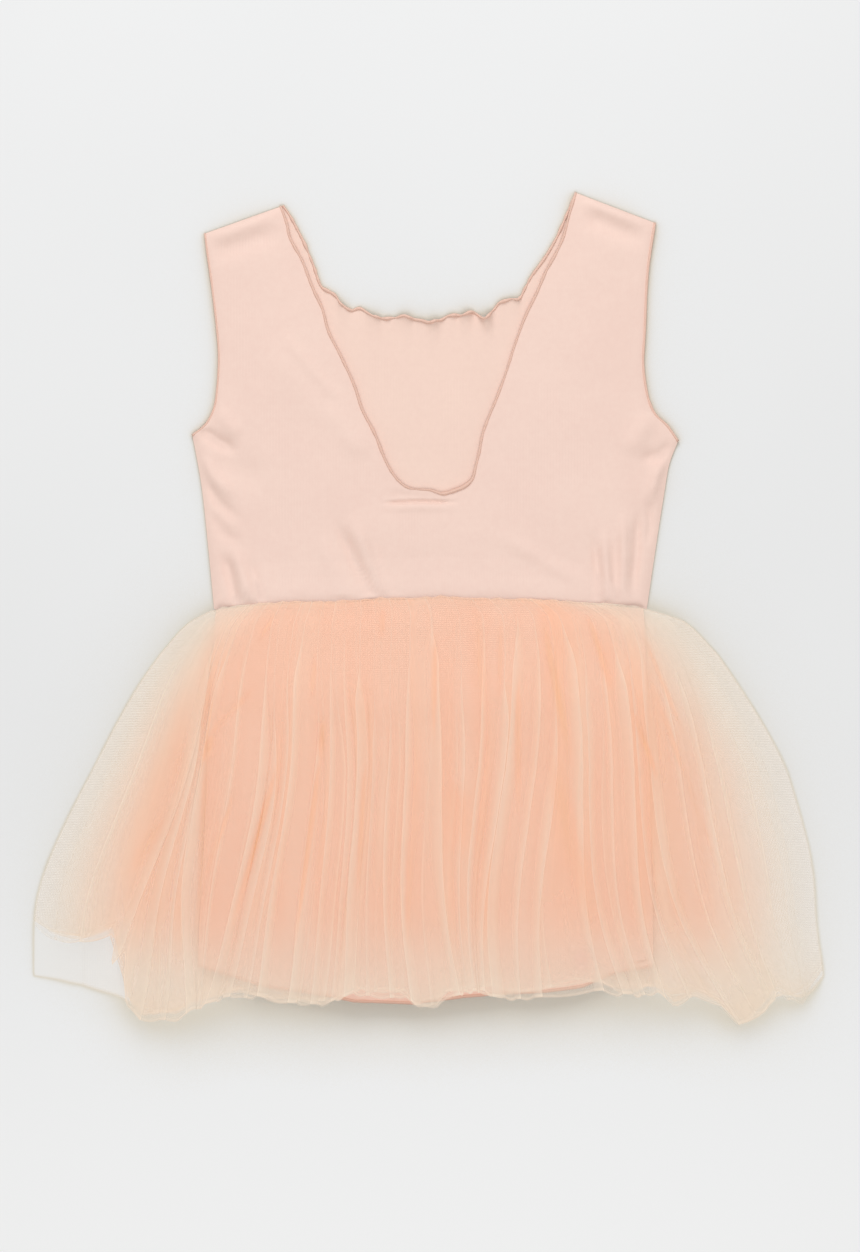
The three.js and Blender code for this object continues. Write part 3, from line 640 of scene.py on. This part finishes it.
def slipShare(across, down):
    outside = np.maximum(read(slip["sides"], "down", "left", down) - across,
                         across - read(slip["sides"], "down", "right", down))
    return 1 - smooth(outside, 9, 39)


def loftOf(level):
    return skirt["lowerLoft"] if level < 3 else skirt["upperLoft"]


def slotHeight(level, share, across, down):
    # height at which a layer starts, from all that lies under it, pinched together at the seam
    side = np.minimum(share, 1 - share)
    height = 0.0
    for below in range(level):
        height = height + (skirt["netWall"] + skirt["gap"]) * smooth(side, 0, 0.04)
        height = height + loft(loftOf(below), share, down)
    if level >= 3:
        height = height + skirt["slipBlock"] * slipShare(across, down) * smooth(side, 0, 0.05)
    pinched = skirt["pinchHeight"] + skirt["pinchStep"] * level
    return mix(np.minimum(pinched, height + 0.6), height + 0.5, smooth(down, 0, skirt["pinchReach"]))


def foldLines(layer):
    # where each fold line lies in shares of the width at the three levels, and how strong each line is
    source = random.Random(layer["seed"])
    if layer["lines"] == 0:
        folds = skirt["outerFolds"]
        shares = []
        for i, down in enumerate(skirt["levels"]):
            left, right = sideAt(down, "left"), sideAt(down, "right")
            shares.append([(fold[i] - left) / (right - left) for fold in folds])
        strengths = [fold[3] for fold in folds]
    else:
        steps = np.cumsum([source.uniform(0.5, 1.6) for _ in range(layer["lines"] + 1)])
        waist = steps[:-1] / steps[-1]
        fan = skirt["fan"]
        shares = [waist, read(fan, "waist", "middle", waist), read(fan, "waist", "hem", waist)]
        strengths = [source.uniform(0.15, 0.9) for _ in waist]
    return (np.array([[0, *row, 1] for row in shares]), np.array([0, *strengths, 0]))


def netHem(layer, across):
    near = read(skirt["hems"], "across", "near", across)
    if layer["hem"] == "near":
        return near
    if layer["hem"] == "far":
        corner = read(skirt["cornerNet"], "across", "down", across)
        return np.where(across < skirt["cornerNet"]["across"][-1], corner, near - 3)
    return near - layer["shorter"] + np.sin(2 * math.pi * across / 41 + layer["seed"])


def slitDepth(x, down):
    depth = 0.0
    for firstX, firstDown, lastX, lastDown, width, strength in skirt["slits"]:
        share = (down - firstDown) / (lastDown - firstDown)
        away = x - mix(firstX, lastX, share)
        lens = smooth(share, -0.12, 0.35) * smooth(1 - share, -0.25, 0.45)
        depth = np.maximum(depth, strength * lens * np.exp(-((away / (0.8 * width)) ** 2)))
    return depth


def netSheet(layer):
    # panels of single net between fold lines, and at each line a narrow raised lap
    shares, strengths = foldLines(layer)
    last = len(strengths) - 1
    panel, turn = layer["panel"], layer["turn"]
    spots = []  # of each column: the fold line before it, the share of the panel, the share of the lap
    for i in range(last):
        spots += [(i, 0.5 - 0.5 * math.cos(math.pi * j / panel), -1)
                  for j in range(0 if i == 0 else 1, panel + (1 if i == last - 1 else 0))]
        if i < last - 1:
            spots += [(i + 1, 0, j / turn) for j in range(turn + 1)]
    before = np.array([spot[0] for spot in spots])
    panelShare = np.array([spot[1] for spot in spots])
    turnShare = np.array([spot[2] for spot in spots])
    turning = turnShare >= 0
    after = np.where(turning, before, np.minimum(before + 1, last))
    chance = np.random.default_rng(layer["seed"])
    start, grow, late, facing, dip, phase = (
        chance.uniform(low, high, last + 1)
        for low, high in ((0, 60), (20, 70), (0.2, 1.25), (-1, 1), (-2, 2), (0, 6.28)))
    facing = np.where(facing > 0, 1, -1)
    crispness = chance.uniform(0.15, 1, last + 1)

    def lineAt(line, down):
        # where a fold line runs across at a level, on a smooth curve through its three places
        t, middle = down / 235, 110 / 235
        share = shares[0][line] * (t - middle) * (t - 1) / middle
        share = share + shares[1][line] * t * (t - 1) / (middle * (middle - 1))
        share = share + shares[2][line] * t * (t - middle) / (1 - middle)
        inside = np.sin(math.pi * np.clip(shares[0][line], 0, 1)) ** 0.5
        share = share + 0.0005 * inside * np.sin(down / 27 + phase[line]) * smooth(down, 10, 60)
        ease = 9 + 24 * inside
        return mix(sideAt(down, "left", ease), sideAt(down, "right", ease), share)

    def lapAt(line, down):
        opening = smooth(down, start[line], start[line] + grow[line])
        opening = opening * mix(1, late[line], smooth(down, 120, 235))
        inner = (line > 0) & (line < last)
        return np.where(inner, 0.5 + layer["overlap"] * strengths[line] * opening, 0)

    def spread(down):
        first, second = lineAt(before, down), lineAt(after, down)
        firstLap, secondLap = lapAt(before, down), lapAt(after, down)
        across = mix(first + firstLap / 2, second - secondLap / 2, panelShare)
        x = np.where(turning, first - firstLap / 2 * np.cos(math.pi * turnShare), across)
        return np.clip(x, sideAt(down, "left"), sideAt(down, "right")), firstLap, secondLap

    hem = np.full(len(spots), 235.0)
    for _ in range(5):  # the hem's depth depends on where each column ends
        hem = mix(hem, netHem(layer, spread(hem)[0]), 0.7)
    hem = hem + mix(dip[before], dip[after], panelShare) + 1.2 * np.sin(math.pi * panelShare)
    along = np.append(np.linspace(0, 0.99, skirt["rows"] - 1), (0.996, 1.0))
    down = hem[None, :] * along[:, None]
    left, right = sideAt(down, "left"), sideAt(down, "right")
    x, firstLap, secondLap = spread(down)
    share = (x - left) / (right - left)
    room = skirt["netWall"] + skirt["gap"] + loft(loftOf(layer["level"]), share, down)
    laps = np.where(turning, firstLap, mix(firstLap, secondLap, panelShare))
    step = np.minimum(0.5, 0.12 * room) * np.clip(laps / 5, 0.04, 1)
    between = mix(1 - facing[before], 1 + facing[after], panelShare) * (1 - np.sin(math.pi * panelShare))
    lean = np.where(turning, 1 + facing[before] * np.cos(math.pi * turnShare), between)
    crown = np.where(turning, 0, np.sin(math.pi * panelShare))
    slits = slitDepth(x, down) if layer["hem"] == "near" else 0 * x
    z = slotHeight(layer["level"], share, x, down)
    z = z + room * (0.36 + 0.22 * crown * smooth(down, 5, 60)) + step * lean
    z = z - 0.3 * room * slits + 0.6 * ripples(x, down, 30, layer["seed"] + 0.5) * smooth(down, 20, 60)
    z = z + 0.3 * (1 - smooth(down, 6, 50)) * np.sin(x * 1.9 + layer["seed"]) * smooth(down, 0, 6)
    z = np.maximum(z, 0.3)
    y = seamSway(mix(-131.2, 131.4, share), down) - down
    if layer["level"] > 2:
        tuck = 1 - smooth(down, 0, 7)
        atSide = smooth(np.minimum(share, 1 - share), 0, 0.03)
        y = y + tuck * (1.2 + 0.9 * ripples(x, 0 * x, 4.5, 8.8)) * atSide
        z = z + 0.9 * tuck

    # width of cloth in each column, and how many threads lie over each other where it is drawn together
    steps = np.abs(np.diff(x, axis=1))
    widths = steps.max(axis=0)
    packed = np.clip(widths[None, :] / np.maximum(steps, 0.05), 1, 2.6)
    packed[:, turning[1:] & turning[:-1]] = 1.4
    packed = np.pad(packed, ((0, 0), (1, 1)), mode="edge")
    packed = (packed[:, 1:] + packed[:, :-1]) / 2
    outline = skirt["outline"]
    inward = smooth(x - left, -4, outline["left"]) * smooth(right - x, -4, outline["right"])
    # a lap shows as a thin light line at its turned edge and fades into the panel on its other side
    lapShare = 0.5 - 0.5 * np.cos(math.pi * np.where(facing[before] > 0, turnShare, 1 - turnShare))
    lapped = (skirt["lapMiddle"] * (1 - lapShare)
              + skirt["lapEdge"] * crispness[before] * np.exp(-lapShare * firstLap / skirt["lapLine"]))
    lapped = np.where(turning, lapped * layer["crisp"] * (0.4 + 0.6 * strengths[before]), 0)
    threads = skirt["fullness"] * packed * mix(outline["thin"], 1, inward)
    threads = threads * (1 + lapped * np.clip(firstLap / 4, 0, 1)) + 2.2 * slits
    threads = threads * (1 + 0.35 * smooth(down, hem - 16, hem - 5))  # closer threads towards the hem
    threads = threads * (1 + 1.1 * (along[:, None] > 0.992)) * (1 + 0.6 * (down < 1))  # raw edge, seam
    if layer["hem"] == "far":  # one thin layer shows alone below the left corner
        threads = threads * (1 - 0.7 * smooth(down, 180, 195) * smooth(-x, 165, 185))
    thinX, thinDown, thinReach = skirt["thinSpot"]
    fromThin = ((x - thinX) / thinReach) ** 2 + ((down - thinDown) / thinReach) ** 2
    threads = threads * (1 - 0.7 * np.exp(-fromThin))
    # painted light: the net is painted warmer inside its outline and paler towards the hem, at the laps and
    # at the seam, as light coming through the layers would colour it; the slits add painted deep shade, and
    # the tone also wanders at random
    paintedWarmth = smooth(x - left, 4, 56 + 22 * smooth(down, 90, 190)) * smooth(right - x, 8, 74)
    paintedWarmth = paintedWarmth * (1 - 0.85 * smooth(down, 172, 232))
    tone = 0.85 + 0.35 * ripples(x * 3.2, down * 0.22, 30, layer["seed"] + 20.5)
    paintedWarmth = np.minimum(paintedWarmth * tone * (1 - 0.45 * np.clip(lapped, 0, 1)), 1) + 1.25 * slits
    paintedWarmth = paintedWarmth * (0.85 + 0.15 * smooth(down, 0, 8))
    places = np.append(0, np.cumsum(widths))
    order = []

    def place(acrossShare, alongShare):
        row = min(int(round(alongShare * skirt["rows"])), skirt["rows"])
        column = min(int(round(acrossShare * (len(spots) - 1))), len(spots) - 1)
        order.append((row, column))
        cloth = (places[column], down[row, column] + layer["seed"] * 10)
        return (x[row, column], y[row, column], z[row, column]), cloth

    piece = clothSheet(layer["name"], len(spots) - 1, skirt["rows"], place, net)
    rows, columns = np.array(order).T
    for name, values in (("threads", threads), ("paintedWarmth", paintedWarmth)):
        layerValues = piece.data.attributes.new(name, "FLOAT", "POINT")
        layerValues.data.foreach_set("value", values[rows, columns].astype(np.float32))
    print(layer["name"], "area", round(sum(face.area for face in piece.data.polygons), 4))
    return piece


nets = {layer["node"]: netSheet(layer) for layer in skirt["layers"]}
print("tulle ready")


def slipPlace(isBack):
    def place(across, along):
        hemAcross = mix(-140, 135, across)
        hem = read(slip["hem"], "across", "down", hemAcross) - (0 if isBack else 4)
        down = hem * along
        x = mix(read(slip["sides"], "down", "left", down), read(slip["sides"], "down", "right", down), across)
        share = (x - sideAt(down, "left")) / (sideAt(down, "right") - sideAt(down, "left"))
        own = skirt["slipBlock"] * slipShare(x, down) * smooth(min(share, 1 - share), 0, 0.05)
        bed = slotHeight(3, share, x, down) - own
        # on top of the front nets, also where all are pinched together at the seam
        bed = max(bed, 1.2 + 0.4 * smooth(down, 0, 20), slotHeight(2, share, x, down) + slip["overNets"])
        above = slip["wall"] + skirt["gap"] + slip["puff"] * math.sin(math.pi * across) if isBack else 0
        above = above * mix(slip["pinched"], 1, smooth(down, 0, skirt["pinchReach"]))
        folds = 0.8 * ripple(x * 1.6, down * 0.25, 22, 9.1 + isBack) * smooth(down, 10, 60)
        y = seamSway(x, down) - down
        turned = 0.5 * math.exp(-(hem - down) / 3) * math.sin(x / 9)
        return (x, y, bed + slip["rest"] + above + folds + turned), (x, down)
    return place


slipBack = clothSheet("slipBack", slip["columns"], slip["rows"], slipPlace(True), slipCloth)
slipFront = clothSheet("slipFront", slip["columns"], slip["rows"], slipPlace(False), slipCloth)
slipHemBack, slipHemFront = (
    rolledEdge(name, [slipPlace(isBack)(i / 240, 1)[0] for i in range(241)], rolls["slipHem"], slipThread)
    for name, isBack in (("slipHemBack", True), ("slipHemFront", False)))
print("slip ready")


# every piece rides on the dress and stands in for its solid, which is hidden, and its trims ride with it

def declare(piece, node, trims=()):
    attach(piece, "root")
    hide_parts(node)
    for trim in trims:
        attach(trim, "root")


declare(bodiceBack, "bodice_back",
        [neckRoll, *armRolls])
declare(bodiceFront, "bodice_front",
        [scoopRoll, *frontArmRolls])
declare(slipBack, "lining_back", [slipHemBack])
declare(slipFront, "lining_front", [slipHemFront])
for node, piece in nets.items():
    declare(piece, node)


# the pale surface, the light and the camera

# dark and light make the paper's uneven tone; foot is painted light, lighter paper towards the foot of the
# picture; the shade entries are painted shade near the cloth
surface = {"size": 6.0, "dark": (0.765, 0.765, 0.76), "light": (0.81, 0.81, 0.805),
           "foot": (0.88, 0.88, 0.875), "footBetween": (-0.05, -0.42),
           "shadeReach": 0.06, "shadeMost": 0.25, "shade": 0.29, "warmShade": (0, 0.3, 0.85),
           "underBetween": (0.5, 0.8), "underCloth": 0.16}
bm = bmesh.new()
bmesh.ops.create_grid(bm, x_segments=2, y_segments=2, size=surface["size"] / 2)
floorMesh = bpy.data.meshes.new("floor")
bm.to_mesh(floorMesh)
bm.free()
floor = bpy.data.objects.new("floor", floorMesh)
bpy.context.collection.objects.link(floor)
paper, paperTree, paperShader = newMaterial("palePaper")
paperNoise = addNode(paperTree, "ShaderNodeTexNoise", in_Scale=3, in_Detail=2)
paperPlace = addNode(paperTree, "ShaderNodeTexCoord")
paperTree.links.new(paperPlace.outputs["Object"], paperNoise.inputs["Vector"])
paperSplit = addNode(paperTree, "ShaderNodeSeparateXYZ")
paperTree.links.new(paperPlace.outputs["Object"], paperSplit.inputs[0])
# painted light: the paper's colour goes lighter towards the foot of the picture
paintedLightAtFoot = rangeNode(paperTree, paperSplit.outputs[1], *surface["footBetween"], 0, 1,
                      interpolation_type="SMOOTHSTEP")
paperTone = mixColour(paperTree, paperNoise.outputs[0], surface["dark"], surface["light"])
paperTone = mixColour(paperTree, paintedLightAtFoot, paperTone, surface["foot"])
# painted shade: the nets let most light through to the cloth under them, so a shade is painted into the
# paper's colour by how much of the sky the cloth close above hides; straight under cloth, where nearly all of
# the sky is hidden, only a little of that painted shade is left
paintedShadeNear = addNode(paperTree, "ShaderNodeAmbientOcclusion", samples=6, in_Distance=surface["shadeReach"])
hiddenSky = mathNode(paperTree, "SUBTRACT", 1, paintedShadeNear.outputs["AO"])
paintedShadeCover = mathNode(paperTree, "MINIMUM", hiddenSky, surface["shadeMost"])
left = rangeNode(paperTree, hiddenSky, *surface["underBetween"], 1, surface["underCloth"])
shade = mathNode(paperTree, "MULTIPLY", mathNode(paperTree, "POWER", paintedShadeCover, 0.5), surface["shade"])
paperTone = mixColour(paperTree, mathNode(paperTree, "MULTIPLY", shade, left), paperTone, (0, 0, 0))
# painted shade, tinted: where the shade is painted, the paper is also tinted peach
warmShade = tuple(1 - part for part in surface["warmShade"])
paintedWarmth = mathNode(paperTree, "MULTIPLY", paintedShadeCover, left)
paperTone = mixColour(paperTree, paintedWarmth, paperTone, warmShade, "MULTIPLY")
paperTree.links.new(paperTone, paperShader.inputs["Base Color"])
paperShader.inputs["Roughness"].default_value = 0.9
floorMesh.materials.append(paper)

studio = {
    "sky": 0.485, "skyColour": (1.0, 0.985, 0.95, 1), "lampColour": (0.975, 0.995, 1.035),
    "softboxes": [("softboxTop", 22.6, 1.1, (-0.15, 1.7, 1.3)),
                  ("softboxFoot", 19.5, 1.6, (0.1, -0.9, 2.2))],
}
world = bpy.data.worlds.new("studio")
bpy.context.scene.world = world
world.use_nodes = True
sky = world.node_tree.nodes["Background"]
sky.inputs["Color"].default_value = studio["skyColour"]
sky.inputs["Strength"].default_value = studio["sky"]
for name, energy, size, at in studio["softboxes"]:
    lamp = bpy.data.lights.new(name, "AREA")
    lamp.energy = energy
    lamp.color = studio["lampColour"]
    lamp.size = size
    lampObject = bpy.data.objects.new(name, lamp)
    lampObject.location = at
    lampObject.rotation_euler = Vector(at).to_track_quat("Z", "Y").to_euler()
    bpy.context.collection.objects.link(lampObject)

view = {"lens": 85, "pixel": 0.6, "photoHeight": 1252, "middle": (0.6, -10.2), "focus": 8}
camera = bpy.data.cameras.new("camera")
camera.lens = view["lens"]
camera.sensor_width = 36
distance = view["lens"] * view["photoHeight"] * view["pixel"] / camera.sensor_width
cameraObject = bpy.data.objects.new("camera", camera)
cameraObject.location = Vector((*view["middle"], distance + view["focus"])) * mm
bpy.context.collection.objects.link(cameraObject)
bpy.context.scene.camera = cameraObject
bpy.context.scene.view_settings.view_transform = "Standard"
bpy.context.scene.cycles.transparent_max_bounces = 48
print("studio ready")
